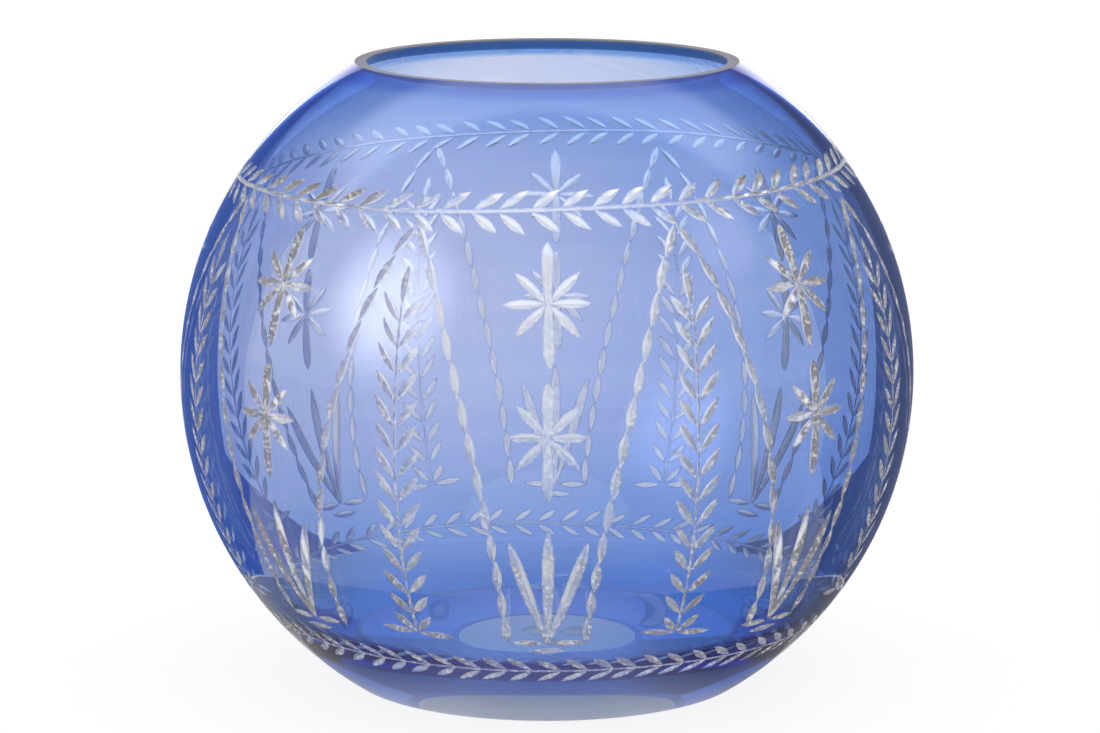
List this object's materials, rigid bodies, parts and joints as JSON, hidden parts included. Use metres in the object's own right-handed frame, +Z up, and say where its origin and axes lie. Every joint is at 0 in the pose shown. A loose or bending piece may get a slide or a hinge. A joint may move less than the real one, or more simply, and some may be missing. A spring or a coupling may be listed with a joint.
{
  "type": "cut crystal vase",
  "caption": "Ball-shaped cased crystal vase with a wide flat-ground mouth, a flat foot and wheel-cut stars, arches, ferns and leaf garlands.",
  "frame": {"origin": "centre of the foot, on the surface the vase stands on", "axes": "+Z up along the vase's axis of revolution; a pair of stars faces -Y"},
  "size_m": [0.248, 0.248, 0.21],
  "materials": {
    "clear_crystal": "clear polished crystal, with the rim and the wheel cuts left ground and satin",
    "cobalt_glass": "thin transparent cobalt blue casing, polished"
  },
  "bodies": {
    "root": {"crystal_body": "clear_crystal", "cobalt_casing": "cobalt_glass"}
  },
  "joints": []
}
